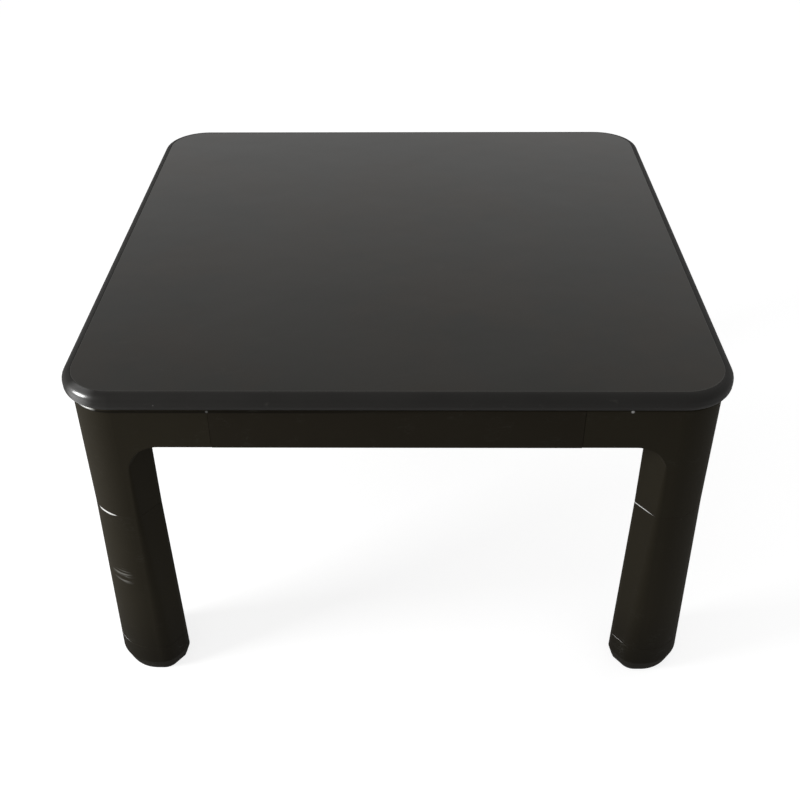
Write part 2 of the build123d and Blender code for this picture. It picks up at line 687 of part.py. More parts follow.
def make_nut_plate():
    """The threaded plate inside the tenon that the leg bolt draws up."""
    behind = MOULD_WALL + PLUG_CLEARANCE + PLUG_WALL + PLATE_CLEARANCE + NUT_PLATE_THICKNESS / 2
    plate = Box(NUT_PLATE_WIDTH, NUT_PLATE_HEIGHT, NUT_PLATE_THICKNESS)
    plate = fillet(plate.edges().filter_by(Axis.Z), NUT_PLATE_ROUNDING)
    plate -= Cylinder(LEG_BOLT_RADIUS + THREAD_CLEARANCE, NUT_PLATE_THICKNESS)
    return diagonal_frame(FACET_DISTANCE - behind, BOLT_LEVEL) * plate


# ---------------------------------------------------------------- heater unit


def square_plate(width, radius, z0, z1):
    """A square plate with rounded corners about the Z axis."""
    return rounded_plate(width, width, radius, z0, z1)


def guard_screw_places():
    """Where the guard is screwed up to the case's rim."""
    reach = HEATER_WIDTH / 2 - HEATER_SHEET - RIM_WIDTH / 2
    reach_y = HEATER_WIDTH / 2 - GUARD_SCREW_FROM_SIDE
    return [(sx * reach, sy * reach_y) for sx in (-1, 1) for sy in (-1, 1)]


def make_case():
    """A steel case: a flanged top, four walls and a rim turned in at the bottom."""
    case = square_plate(
        HEATER_WIDTH + 2 * HEATER_FLANGE, HEATER_CORNER_RADIUS, BAR_TOP, CASE_TOP
    )
    case += square_plate(HEATER_WIDTH, HEATER_CORNER_RADIUS, RIM_LOW, BAR_TOP)
    case -= square_plate(CASE_INNER, HEATER_CORNER_RADIUS - HEATER_SHEET, RIM_HIGH, BAR_TOP)
    mouth = CASE_INNER - 2 * RIM_WIDTH
    case -= square_plate(mouth, HEATER_CORNER_RADIUS - RIM_WIDTH, RIM_LOW, RIM_HIGH)
    half = INLET_WIDTH / 2 + FIT
    low = REFLECTOR_LOW + FIT
    wall = HEATER_WIDTH / 2
    case -= block(-half, half, wall - 2 * HEATER_SHEET, wall + 1, low, low + INLET_HEIGHT + FIT)
    for x, y in heater_screw_places():
        case -= rod((x, y, BAR_TOP), (x, y, CASE_TOP), HEATER_SCREW[0] + FIT)
    for x, y in guard_screw_places():
        case -= rod((x, y, RIM_LOW), (x, y, RIM_HIGH), GUARD_SCREW[0] + FIT)
    return case


def dish(grow, z0, z1):
    """The reflector's tapering square form, grown outward by a sheet thickness."""
    mouth = REFLECTOR_MOUTH + 2 * grow
    crown = REFLECTOR_CROWN + 2 * grow
    radius = HEATER_CORNER_RADIUS
    sections = [
        Pos(0, 0, z0) * RectangleRounded(mouth, mouth, radius + grow),
        Pos(0, 0, z1) * RectangleRounded(crown, crown, radius + grow),
    ]
    return loft(sections, ruled=True)


def make_reflector():
    """A polished dish over the tube, with a flange that lies on the case's rim."""
    flange = CASE_INNER - 2 * REFLECTOR_CLEARANCE
    flange_radius = HEATER_CORNER_RADIUS - HEATER_SHEET - REFLECTOR_CLEARANCE
    reflector = square_plate(flange, flange_radius, RIM_HIGH, REFLECTOR_LOW)
    reflector += dish(REFLECTOR_SHEET, REFLECTOR_LOW, REFLECTOR_TOP)
    reflector -= dish(0, REFLECTOR_LOW, REFLECTOR_TOP - REFLECTOR_SHEET)
    reflector -= square_plate(REFLECTOR_MOUTH, HEATER_CORNER_RADIUS, RIM_HIGH, REFLECTOR_LOW)
    for side in (-1, 1):
        place = side * TUBE_HALF_PITCH
        reflector -= rod(
            (REFLECTOR_CROWN / 2, place, TUBE_LEVEL),
            (TUBE_END, place, TUBE_LEVEL),
            TUBE_RADIUS + TUBE_HOLE_CLEARANCE,
        )
    for x, y in guard_screw_places():
        reflector -= rod((x, y, RIM_HIGH), (x, y, REFLECTOR_LOW), GUARD_SCREW[0] + FIT)
    return reflector


def tube_path():
    """The U-shaped line of the heating tube."""
    start = (TUBE_END, -TUBE_HALF_PITCH, TUBE_LEVEL)
    bend_start = (-TUBE_BEND_CENTRE, -TUBE_HALF_PITCH, TUBE_LEVEL)
    bend_middle = (-TUBE_BEND_CENTRE - TUBE_HALF_PITCH, 0, TUBE_LEVEL)
    bend_end = (-TUBE_BEND_CENTRE, TUBE_HALF_PITCH, TUBE_LEVEL)
    end = (TUBE_END, TUBE_HALF_PITCH, TUBE_LEVEL)
    bend = ThreePointArc(bend_start, bend_middle, bend_end)
    return Line(start, bend_start) + bend + Line(bend_end, end)


def along_tube(radius):
    """A round solid along the heating tube's line."""
    path = tube_path()
    section = Plane(origin=path @ 0, z_dir=path % 0) * Circle(radius)
    return sweep(section, path)


def make_tube_holders():
    """Two ceramic blocks that hold the tube's ends."""
    back = TUBE_END + HOLDER_CAP
    front = back - HOLDER_THICKNESS
    half = HOLDER_SIZE / 2
    blocks = []
    for side in (-1, 1):
        place = side * TUBE_HALF_PITCH
        holder = block(
            front, back, place - half, place + half, TUBE_LEVEL - half, TUBE_LEVEL + half
        )
        holder = chamfer(holder.edges().filter_by(Axis.X), HOLDER_CHAMFER)
        holder -= rod((front, place, TUBE_LEVEL), (TUBE_END, place, TUBE_LEVEL), TUBE_RADIUS + FIT)
        blocks.append(holder)
    return blocks


def make_bracket():
    """The bent steel strip that hangs from the case's top and carries the tube holders."""
    face = TUBE_END + HOLDER_CAP
    low = TUBE_LEVEL - HOLDER_SIZE / 2
    bracket = block(
        face, face + HEATER_SHEET, -BRACKET_HALF_WIDTH, BRACKET_HALF_WIDTH, low, BAR_TOP
    )
    foot_reach = face - HOLDER_THICKNESS
    return bracket + block(
        foot_reach, face, -BRACKET_HALF_WIDTH, BRACKET_HALF_WIDTH, BAR_TOP - HEATER_SHEET, BAR_TOP
    )


def make_tube_clip():
    """A spring clip that steadies the tube's bend under the reflector."""
    apex = -TUBE_BEND_CENTRE - TUBE_HALF_PITCH
    half = CLIP_WIDTH / 2
    inner = TUBE_RADIUS + SLIDE_CLEARANCE
    clip = rod((apex, -half, TUBE_LEVEL), (apex, half, TUBE_LEVEL), inner + HEATER_SHEET)
    clip -= rod((apex, -half, TUBE_LEVEL), (apex, half, TUBE_LEVEL), inner)
    slope = (REFLECTOR_TOP - REFLECTOR_LOW) / REFLECTOR_SLOPE
    stem_half = HEATER_SHEET / 2
    ceiling = REFLECTOR_LOW + slope * (REFLECTOR_MOUTH / 2 + apex - stem_half) - REFLECTOR_SHEET
    return clip + block(
        apex - stem_half, apex + stem_half, -half, half, TUBE_LEVEL + inner + stem_half, ceiling
    )


def make_guard():
    """The guard under the heater: a border with a grille of crossed wires."""
    inner = CASE_INNER - 2 * RIM_WIDTH
    radius = HEATER_CORNER_RADIUS - HEATER_SHEET
    guard = square_plate(CASE_INNER, radius, GUARD_LOW, RIM_LOW)
    guard = fillet(at_height(guard, GUARD_LOW), GUARD_ROUNDING)
    guard -= square_plate(inner, radius - GUARD_BORDER, GUARD_LOW - 1, RIM_LOW)
    reach = inner / 2 + GUARD_WIRE_RADIUS
    pitch = inner / (GUARD_WIRE_COUNT + 1)
    level = GUARD_LOW + GUARD_WIRE_ABOVE_BASE
    wires = []
    for step in range(GUARD_WIRE_COUNT):
        place = (step - (GUARD_WIRE_COUNT - 1) / 2) * pitch
        wires.append(rod((-reach, place, level), (reach, place, level), GUARD_WIRE_RADIUS))
        upper = level + GUARD_WIRE_STEP
        wires.append(rod((place, -reach, upper), (place, reach, upper), GUARD_WIRE_RADIUS))
    guard = guard + wires
    head_radius, head_height = GUARD_SCREW[2:]
    seat = RIM_LOW - GUARD_SCREW_BITE
    for x, y in guard_screw_places():
        guard -= rod((x, y, GUARD_LOW - 1), (x, y, seat), head_radius + FIT)
        guard -= rod((x, y, seat), (x, y, RIM_LOW), GUARD_SCREW[0] + FIT)
    return guard, seat


def make_inlet():
    """The moulded inlet for the cord's connector, in the case's rear wall."""
    half = INLET_WIDTH / 2
    wall = HEATER_WIDTH / 2
    low = REFLECTOR_LOW + FIT
    high = low + INLET_HEIGHT
    front = wall + INLET_PROJECTION
    inlet = block(-half, half, wall - INLET_INSIDE, front, low, high)
    inlet = fillet(inlet.edges().filter_by(Axis.Y), INLET_ROUNDING)
    reach = half + INLET_FLANGE
    inlet += block(
        -reach, reach, wall, wall + INLET_FLANGE_THICKNESS, RIM_LOW, high + INLET_FLANGE_ABOVE
    )
    recess_floor = wall - INLET_INSIDE + INLET_WALL
    recess = block(
        -half + INLET_WALL, half - INLET_WALL, recess_floor, front, low + INLET_WALL, high - INLET_WALL
    )
    inlet -= fillet(recess.edges().filter_by(Axis.Y), RECESS_ROUNDING)
    for x, y0, y1, z in pin_places():
        inlet -= rod((x, y0, z), (x, y1, z), PIN_RADIUS + FIT / 2)
    return inlet


def pin_places():
    """Each contact pin: its X, its inner end, its outer end and its level."""
    wall = HEATER_WIDTH / 2
    level = REFLECTOR_LOW + FIT + INLET_HEIGHT / 2
    inner = wall - INLET_INSIDE - PIN_TAIL
    return [(side * PIN_PITCH / 2, inner, inner + PIN_LENGTH, level) for side in (-1, 1)]


def make_pins():
    """Two round contact pins that stand in the inlet."""
    return [rod((x, y0, z), (x, y1, z), PIN_RADIUS) for x, y0, y1, z in pin_places()]


def terminal_sides():
    """The terminal block's low and high X and low and high Y."""
    rear = HEATER_WIDTH / 2 - TERMINAL_FROM_WALL
    return TERMINAL_START, TERMINAL_START + TERMINAL_LENGTH, rear - TERMINAL_DEPTH, rear


def make_terminal_block():
    """A ceramic terminal block under the case's top, with two screw wells."""
    x0, x1, y0, y1 = terminal_sides()
    body = block(x0, x1, y0, y1, BAR_TOP - TERMINAL_HEIGHT, BAR_TOP)
    middle = (y0 + y1) / 2
    low = BAR_TOP - TERMINAL_HEIGHT
    for quarter in (1, 3):
        x = x0 + TERMINAL_LENGTH * quarter / 4
        body -= rod((x, middle, low), (x, middle, low + TERMINAL_HEIGHT / 2), TERMINAL_WELL_RADIUS)
    return body


def make_thermostat():
    """A disc thermostat on the reflector's crown, with a tab on each side."""
    x, y = THERMOSTAT_PLACE
    base = REFLECTOR_TOP
    body = rod((x, y, base), (x, y, base + THERMOSTAT_HEIGHT), THERMOSTAT_RADIUS)
    body = fillet(at_height(body, base + THERMOSTAT_HEIGHT), TAB_THICKNESS)
    tab_low = base + THERMOSTAT_HEIGHT / 2
    tab_high = tab_low + TAB_THICKNESS
    half = TAB_WIDTH / 2
    reach = THERMOSTAT_RADIUS + THERMOSTAT_TAB
    return body + block(x - half, x + half, y - reach, y + reach, tab_low, tab_high)


def make_fuse():
    """A thermal fuse held to the reflector's crown by a strap."""
    x, y = FUSE_PLACE
    level = REFLECTOR_TOP + FUSE_RADIUS
    half = FUSE_LENGTH / 2
    fuse = rod((x - half, y, level), (x + half, y, level), FUSE_RADIUS)
    half_width = FUSE_STRAP_WIDTH / 2
    reach = FUSE_STRAP_LENGTH / 2
    strap = block(
        x - half_width, x + half_width, y - reach, y + reach, REFLECTOR_TOP, level + FUSE_RADIUS / 2
    )
    return fuse + strap


def make_leads():
    """The insulated leads between the inlet, thermostat, fuse, terminals and tube holders."""
    (left_x, pin_end, _, pin_level), (right_x, _, _, _) = pin_places()
    x0, x1, _, _ = terminal_sides()
    high = BAR_TOP - TERMINAL_HEIGHT / 2
    near_wall = pin_end - LEAD_STUB
    thermostat_x, thermostat_y = THERMOSTAT_PLACE
    tab = THERMOSTAT_RADIUS + THERMOSTAT_TAB
    tab_level = REFLECTOR_TOP + (THERMOSTAT_HEIGHT + TAB_THICKNESS) / 2
    fuse_x, fuse_y = FUSE_PLACE
    fuse_level = REFLECTOR_TOP + FUSE_RADIUS
    fuse_half = FUSE_LENGTH / 2
    holder_x = TUBE_END + HOLDER_CAP - HOLDER_THICKNESS / 2
    holder_top = TUBE_LEVEL + HOLDER_SIZE / 2
    routes = [
        [
            (right_x, pin_end, pin_level),
            (right_x, near_wall, pin_level),
            (right_x, near_wall, high),
            (x0, near_wall, high),
        ],
        [
            (left_x, pin_end, pin_level),
            (left_x, near_wall, pin_level),
            (left_x, near_wall, tab_level),
            (thermostat_x, near_wall - LEAD_SWING, tab_level),
            (thermostat_x, thermostat_y + tab, tab_level),
        ],
        [
            (thermostat_x, thermostat_y - tab, tab_level),
            (thermostat_x, fuse_y, tab_level),
            (fuse_x - fuse_half - LEAD_STUB, fuse_y, fuse_level),
            (fuse_x - fuse_half, fuse_y, fuse_level),
        ],
        [
            (fuse_x + fuse_half, fuse_y, fuse_level),
            (fuse_x + fuse_half + LEAD_STUB, fuse_y, fuse_level),
            (holder_x, -TUBE_HALF_PITCH, fuse_level + LEAD_RISE),
            (holder_x, -TUBE_HALF_PITCH, holder_top),
        ],
        [
            (x1, near_wall, high),
            (holder_x - LEAD_SWING, near_wall, high),
            (holder_x, TUBE_HALF_PITCH, high),
            (holder_x, TUBE_HALF_PITCH, holder_top),
        ],
    ]
    return [lead(route) for route in routes]


def lead(route):
    """One insulated lead along a bent route."""
    path = FilletPolyline(route, radius=LEAD_BEND)
    section = Plane(origin=path @ 0, z_dir=path % 0) * Circle(LEAD_RADIUS)
    return sweep(section, path)


# ---------------------------------------------------------------- assembly

SIDES = {
    "front_left": (-1, -1),
    "front_right": (1, -1),
    "rear_left": (-1, 1),
    "rear_right": (1, 1),
}


def to_corner(shape, side_x, side_y):
    """A corner's shape, drawn with its outer faces on X = 0 and Y = 0, in its place."""
    placed = Pos(-FRAME_WIDTH / 2, -FRAME_DEPTH / 2, 0) * shape
    if side_x > 0:
        placed = mirror(placed, Plane.YZ)
    if side_y > 0:
        placed = mirror(placed, Plane.XZ)
    return placed


def group(shapes):
    """Several separate solids as one node."""
    return Compound(children=[Solid(shape.solid().wrapped) for shape in shapes])


def four_corners(shape):
    """A shape repeated at all four corners."""
    return [to_corner(shape, *side) for side in SIDES.values()]


def rail_screws_for(frame_length):
    """The two screws behind a rail's tongues, in the rail's own frame."""
    place = frame_length / 2 - ARM_LENGTH + RAIL_TONGUE_LENGTH / 2
    return [
        placed_screw(RAIL_SCREW, (side * place, RAIL_TONGUE_BACK, TONGUE_MIDDLE), (0, -1, 0))
        for side in (-1, 1)
    ]


def on_four_sides(along_front, along_side):
    """Shapes drawn in a rail's own frame, moved to the front, rear, left and right of the frame."""
    front = [Pos(0, -FRAME_DEPTH / 2, 0) * shape for shape in along_front]
    left = [Pos(-FRAME_WIDTH / 2, 0, 0) * Rot(0, 0, -90) * shape for shape in along_side]
    return {
        "front": front,
        "rear": [mirror(shape, Plane.XZ) for shape in front],
        "left": left,
        "right": [mirror(shape, Plane.YZ) for shape in left],
    }


def build():
    """Every node of the table by name."""
    nodes = {
        "tabletop_edge": make_edge_moulding(),
        "tabletop_core": make_tabletop_core(),
        "tabletop_laminate": make_laminate(TOP_FACE - LAMINATE_THICKNESS, TOP_FACE, TOP_FACE),
        "tabletop_underside": make_laminate(
            TOP_BOTTOM, TOP_BOTTOM + LAMINATE_THICKNESS, TOP_BOTTOM
        ),
    }
    corner = make_corner()
    leg = make_leg()
    foot = make_foot()
    glide = make_glide()
    for name, side in SIDES.items():
        nodes[f"corner_{name}"] = to_corner(corner, *side)
        nodes[f"leg_{name}"] = to_corner(leg, *side)
        nodes[f"foot_{name}"] = to_corner(foot, *side)
        nodes[f"glide_{name}"] = to_corner(glide, *side)
    pad = bumper(FRAME_TOP - BUMPER_SEAT, TOP_BOTTOM, 0)
    nodes["bumpers"] = group(four_corners(pad) + four_corners(swap_xy(pad)))
    nodes["leg_bolts"] = group(four_corners(make_leg_bolt()))
    nodes["nut_plates"] = group(four_corners(make_nut_plate()))

    rails = on_four_sides(
        [make_rail(FRAME_WIDTH, (-BAR_PLACE, BAR_PLACE))], [make_rail(FRAME_DEPTH, ())]
    )
    for name, shapes in rails.items():
        nodes[f"rail_{name}"] = shapes[0]
    rail_screws = on_four_sides(rail_screws_for(FRAME_WIDTH), rail_screws_for(FRAME_DEPTH))
    nodes["rail_screws"] = group(shape for shapes in rail_screws.values() for shape in shapes)

    nodes["crossbar_right"] = make_long_bar()
    nodes["crossbar_left"] = mirror(nodes["crossbar_right"], Plane.YZ)
    batten = make_short_bar()
    nodes["batten_front"] = Pos(0, -BAR_PLACE, 0) * batten
    nodes["batten_rear"] = Pos(0, BAR_PLACE, 0) * batten
    screw_y = FRAME_DEPTH / 2 - APRON_DEPTH / 2
    nodes["crossbar_screws"] = group(
        placed_screw(CROSSBAR_SCREW, (sx * BAR_PLACE, sy * screw_y, FRAME_TOP), (0, 0, -1), True)
        for sx, sy in SIDES.values()
    )
    bar_side = BAR_PLACE + CROSSBAR_WIDTH / 2
    bar_middle = (BAR_TOP + BAR_BOTTOM) / 2
    nodes["batten_screws"] = group(
        placed_screw(BATTEN_SCREW, (sx * bar_side, sy * BAR_PLACE, bar_middle), (-sx, 0, 0))
        for sx, sy in SIDES.values()
    )

    guard, guard_seat = make_guard()
    coil = along_tube(COIL_RADIUS)
    nodes["heater_case"] = make_case()
    nodes["heater_reflector"] = make_reflector()
    nodes["heater_tube"] = along_tube(TUBE_RADIUS) - along_tube(TUBE_RADIUS - TUBE_WALL)
    nodes["heater_coil"] = coil
    nodes["tube_holders"] = group(make_tube_holders())
    nodes["tube_bracket"] = make_bracket()
    nodes["tube_clip"] = make_tube_clip()
    nodes["heater_guard"] = guard
    nodes["guard_screws"] = group(
        placed_screw(GUARD_SCREW, (x, y, guard_seat), (0, 0, 1)) for x, y in guard_screw_places()
    )
    nodes["heater_screws"] = group(
        placed_screw(HEATER_SCREW, (x, y, CASE_TOP), (0, 0, -1)) for x, y in heater_screw_places()
    )
    nodes["cord_inlet"] = make_inlet()
    nodes["inlet_pins"] = group(make_pins())
    nodes["terminal_block"] = make_terminal_block()
    nodes["thermostat"] = make_thermostat()
    nodes["thermal_fuse"] = make_fuse()
    nodes["heater_leads"] = group(make_leads())
    return nodes


def main():
    """Writes every node to its own file."""
    os.makedirs("parts", exist_ok=True)
    for name, shape in build().items():
        export_step(shape, f"parts/{name}.step")


main()
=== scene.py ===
from math import pi, radians

import bpy
import numpy as np
from mathutils import Matrix, Vector


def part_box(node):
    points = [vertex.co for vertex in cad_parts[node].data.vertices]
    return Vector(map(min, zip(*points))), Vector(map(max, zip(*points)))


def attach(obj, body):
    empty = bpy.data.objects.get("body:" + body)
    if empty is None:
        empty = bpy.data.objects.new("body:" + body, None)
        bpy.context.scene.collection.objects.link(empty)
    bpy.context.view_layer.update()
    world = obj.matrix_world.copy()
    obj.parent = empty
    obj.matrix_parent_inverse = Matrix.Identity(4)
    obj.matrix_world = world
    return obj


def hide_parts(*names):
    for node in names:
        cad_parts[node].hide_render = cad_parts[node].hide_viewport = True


# A small square kotatsu in black plastic with a dark laminate top, and a heater under its middle.
# Metres, on the floor at z = 0, with the front towards -Y and the left towards -X.

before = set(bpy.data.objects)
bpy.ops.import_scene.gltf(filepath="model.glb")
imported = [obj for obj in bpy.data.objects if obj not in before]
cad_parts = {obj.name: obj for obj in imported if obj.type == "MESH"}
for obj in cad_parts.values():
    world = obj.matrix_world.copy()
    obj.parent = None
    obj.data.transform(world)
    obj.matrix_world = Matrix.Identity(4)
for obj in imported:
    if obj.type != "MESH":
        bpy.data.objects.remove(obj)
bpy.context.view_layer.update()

MM = 0.001

# ---- View ----
CAMERA_PLACE = (0.0122, -1.04475, 0.89285)
CAMERA_PITCH = 35.748
CAMERA_TURN = 0.686
CAMERA_LEAN = -0.34
CAMERA_LENS = 48.18

# ---- Studio ----
SKY_LIGHT = 0.55
FLOOR_COLOUR = (0.35, 0.35, 0.35, 1)
FLOOR_GLOW = 0.8
FLOOR_HALF_WIDTH = 12.0
LAMP_TARGET = (0, 0, 0.25)
# Name, place, width, watts, and the nodes that the lamp doesn't light: the left one would
# stand in the laminate as a hard white square.
LAMPS = [
    ("lamp_left", (-1.35, -0.65, 0.6), 0.5, 21, ["tabletop_laminate"]),
    ("lamp_right", (1.9, 0.3, 1.8), 1.4, 2, []),
]

# ---- Places read from the frame ----
TOP_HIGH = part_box("tabletop_edge")[1]
SHEET_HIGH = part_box("tabletop_laminate")[1]
CORNER_LOW, CORNER_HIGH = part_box("corner_front_left")
COIL_LOW, COIL_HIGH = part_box("heater_coil")
FRAME_TOP = CORNER_HIGH.z
LEG_SEAM = CORNER_LOW.z
FOOT_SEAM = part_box("leg_front_left")[0].z
TOP_CORNER_RADIUS = 50 * MM
SHEET_CORNER_RADIUS = TOP_CORNER_RADIUS - TOP_HIGH.x + SHEET_HIGH.x

# ---- Marks of use, painted highlights and a painted shadow ----
# On the tabletop's edge: a corner polished by hands, and a nick. Place and reach.
POLISHED_CORNER = ((-0.278, -0.292, 0.358), 19 * MM)
EDGE_NICK = ((-0.21, -0.299, 0.3504), 1.3 * MM)
EDGE_JOINT_X = 0.18
# Painted highlights, white, on the seams of the legs and feet. Place, reach and strength.
SEAM_HIGHLIGHTS = [
    ((-0.276, -0.285, LEG_SEAM), 15 * MM, 0.75),
    ((0.229, -0.273, LEG_SEAM), 26 * MM, 0.36),
    ((-0.286, -0.28, FOOT_SEAM), 14 * MM, 0.2),
    ((0.231, -0.279, FOOT_SEAM), 13 * MM, 0.18),
]
SEAM_HIGHLIGHT_THINNEST = 0.1 * MM
SEAM_HIGHLIGHT_GROWTH = 1.9 * MM
# On the frame's rim under the tabletop: a long painted highlight, and nicks with their strength.
RIM_HIGHLIGHT = ((-0.2765, -0.2845, FRAME_TOP - 1 * MM), 15 * MM)
RIM_NICKS = [
    ((-0.166, -0.293, FRAME_TOP - 1.5 * MM), 1.6 * MM, 0.2),
    ((0.206, -0.293, FRAME_TOP - 1 * MM), 2 * MM, 0.6),
]
# Painted shadow of the gap under the tabletop along the rim's top edge, thickest here, and a
# scraped place on the front left leg. Place and reach.
RIM_GAP_SHADOW = ((-0.2, -0.293, FRAME_TOP), 280 * MM)
SCRAPED_PLACE = ((-0.274, -0.2905, 0.134), 16 * MM)


# ---------------------------------------------------------------- shader expressions


class Value:
    """A shader socket in an expression: each operator adds one Math node that takes its sides."""

    def __init__(self, nodes, socket):
        self.nodes = nodes
        self.socket = socket

    def maths(self, operation, *sides):
        return self.nodes.node("ShaderNodeMath", {"operation": operation}, dict(enumerate(sides)))

    def __add__(self, other):
        return self.maths("ADD", self, other)

    def __sub__(self, other):
        return self.maths("SUBTRACT", self, other)

    def __rsub__(self, other):
        return self.maths("SUBTRACT", other, self)

    def __mul__(self, other):
        return self.maths("MULTIPLY", self, other)

    def __pow__(self, other):
        return self.maths("POWER", self, other)

    def __abs__(self):
        return self.maths("ABSOLUTE", self)

    def at_least(self, other):
        return self.maths("MAXIMUM", self, other)

    def at_most(self, other):
        return self.maths("MINIMUM", self, other)

    __radd__ = __add__
    __rmul__ = __mul__


class Nodes:
    """A node tree, and the one method that adds a node to it."""

    def __init__(self, tree):
        self.tree = tree

    def node(self, kind, settings=(), inputs=(), output=0):
        """Adds a node, sets it, then gives its sockets values or links. Returns one output."""
        node = self.tree.nodes.new(kind)
        for name, value in dict(settings).items():
            setattr(node, name, value)
        for key, value in dict(inputs).items():
            if isinstance(value, Value):
                self.tree.links.new(value.socket, node.inputs[key])
            else:
                node.inputs[key].default_value = value
        return Value(self, node.outputs[output])

    def link(self, value, node, socket):
        self.tree.links.new(value.socket, node.inputs[socket])


class Finish(Nodes):
    """One material: a Principled shader with fixed sockets, and patterns that vary the rest."""

    def __init__(self, name, fixed=()):
        self.material = bpy.data.materials.new(name)
        self.material.use_nodes = True
        super().__init__(self.material.node_tree)
        self.shader = self.tree.nodes["Principled BSDF"]
        for socket, value in dict(fixed).items():
            self.shader.inputs[socket].default_value = value
        self.place = self.node("ShaderNodeTexCoord", output="Object")
        split = self.node("ShaderNodeSeparateXYZ", inputs={0: self.place}).socket.node
        self.x, self.y, self.z = (Value(self, socket) for socket in split.outputs)

    def drawn_out(self, scale, turn=(0, 0, 0)):
        """The place, turned and then scaled on each axis, for a pattern with a direction."""
        return self.node(
            "ShaderNodeMapping", {"vector_type": "TEXTURE"},
            {"Vector": self.place, "Rotation": turn, "Scale": [1 / s for s in scale]},
        )

    def noise(self, size, detail=2.0, place=None, rough=0.5):
        """Cloudy noise from 0 to 1 with features of a size in metres."""
        inputs = {"Vector": place or self.place, "Scale": 1 / size}
        inputs |= {"Detail": detail, "Roughness": rough}
        return self.node("ShaderNodeTexNoise", {}, inputs)

    def cells(self, size, output="Distance", place=None):
        """Voronoi cells of a size in metres: the distance to a cell's centre, or its colour."""
        inputs = {"Vector": place or self.place, "Scale": 1 / size}
        return self.node("ShaderNodeTexVoronoi", {}, inputs, output)

    def between(self, value, low, high):
        """0 below low, 1 above high, and a smooth step between them."""
        inputs = {"Value": value, "From Min": low, "From Max": high}
        return self.node("ShaderNodeMapRange", {"interpolation_type": "SMOOTHSTEP"}, inputs)

    def line(self, value, middle, half):
        """1 along the level where a value has its middle, fading to 0 a half width away."""
        return 1 - self.between(abs(value - middle), 0.3 * half, half)

    def mix(self, share, first, second, blend="MIX"):
        """A colour between two colours, each a link or three numbers."""
        first, second = (c if isinstance(c, Value) else (*c, 1) for c in (first, second))
        settings = {"data_type": "RGBA", "blend_type": blend}
        return self.node("ShaderNodeMix", settings, {0: share, 6: first, 7: second}, 2)

    def grazing(self):
        """0 where the surface is seen square on, rising to 1 at its silhouette."""
        return self.node("ShaderNodeLayerWeight", inputs={"Blend": 0.5}, output="Facing")

    def hairlines(self, length, width, turn, share=0.02):
        """Thin scratches along one direction: the level lines of a noise drawn out that way."""
        place = self.drawn_out((1 / length, 1 / width, 1 / width), (0, 0, radians(turn)))
        return self.line(self.noise(1, 1, place), 0.5, share)

    def bump(self, height, depth, normal=None):
        """A normal for a height from 0 to 1 that stands a depth in metres tall."""
        inputs = {"Height": height, "Distance": depth}
        if normal:
            inputs["Normal"] = normal
        return self.node("ShaderNodeBump", {}, inputs)

    def made(self, colour, rough, normal):
        """Joins the patterns to the shader and returns the material."""
        self.link(colour, self.shader, "Base Color")
        self.link(rough, self.shader, "Roughness")
        self.link(normal, self.shader, "Normal")
        return self.material


def inside_outline(finish, half_width, radius):
    """How far inside a rounded square's outline a point lies, seen from above."""
    across = abs(finish.x) - (half_width - radius)
    along = abs(finish.y) - (half_width - radius)
    corner = (across.at_least(0) ** 2 + along.at_least(0) ** 2) ** 0.5
    return radius - corner - across.maths("MAXIMUM", across, along).at_most(0)


def patch(finish, centre, reach):
    """1 at a point and 0 a reach away from it."""
    away = finish.node(
        "ShaderNodeVectorMath", {"operation": "DISTANCE"}, {0: finish.place, 1: centre}, 1
    )
    return 1 - finish.between(away, 0.3 * reach, reach)


# ---------------------------------------------------------------- tabletop finishes


def laminate_finish():
    """Charcoal melamine: warm and pale clouds, wiping marks, hairlines and a painted highlight
    along the sheet's edge.
    """
    fixed = {"Specular IOR Level": 0.2, "Specular Tint": (1, 0.95, 0.84, 1)}
    finish = Finish("charcoal_laminate", fixed)
    warm = finish.between(finish.noise(110 * MM, 4, rough=0.6), 0.4, 0.62)
    pale = finish.between(finish.noise(190 * MM, 3), 0.42, 0.66)
    mottle = finish.noise(22 * MM, 4, rough=0.6)
    wiped = finish.noise(1, 3, finish.drawn_out((4, 22, 22), (0, 0, radians(8))))
    scratched = finish.between(finish.noise(50 * MM, 2), 0.56, 0.72)
    scratches = finish.hairlines(70 * MM, 11 * MM, 12, 0.008) * scratched
    inside = inside_outline(finish, SHEET_HIGH.x, SHEET_CORNER_RADIUS)
    border_highlight = 1 - finish.between(inside, 0.5 * MM, 1.1 * MM)
    tone = finish.mix(warm, (0.0014, 0.002, 0.0014), (0.0068, 0.0036, 0.001))
    tone = finish.mix(pale * 0.6, tone, (0.0082, 0.0078, 0.0068))
    tone = finish.mix(mottle * 0.4, tone, (0.006, 0.0055, 0.0038))
    tone = finish.mix(scratches * 0.08, tone, (0.12, 0.12, 0.115))
    # Painted highlight along the sheet's edge.
    tone = finish.mix(border_highlight * 0.5, tone, (0.07, 0.069, 0.066))
    rough = 0.06 + 0.06 * wiped + 0.04 * mottle + 0.08 * scratches
    normal = finish.bump(finish.noise(60 * MM, 2), 0.25 * MM)
    normal = finish.bump(finish.noise(0.8 * MM, 2), 0.012 * MM, normal)
    return finish.made(tone, rough, normal)


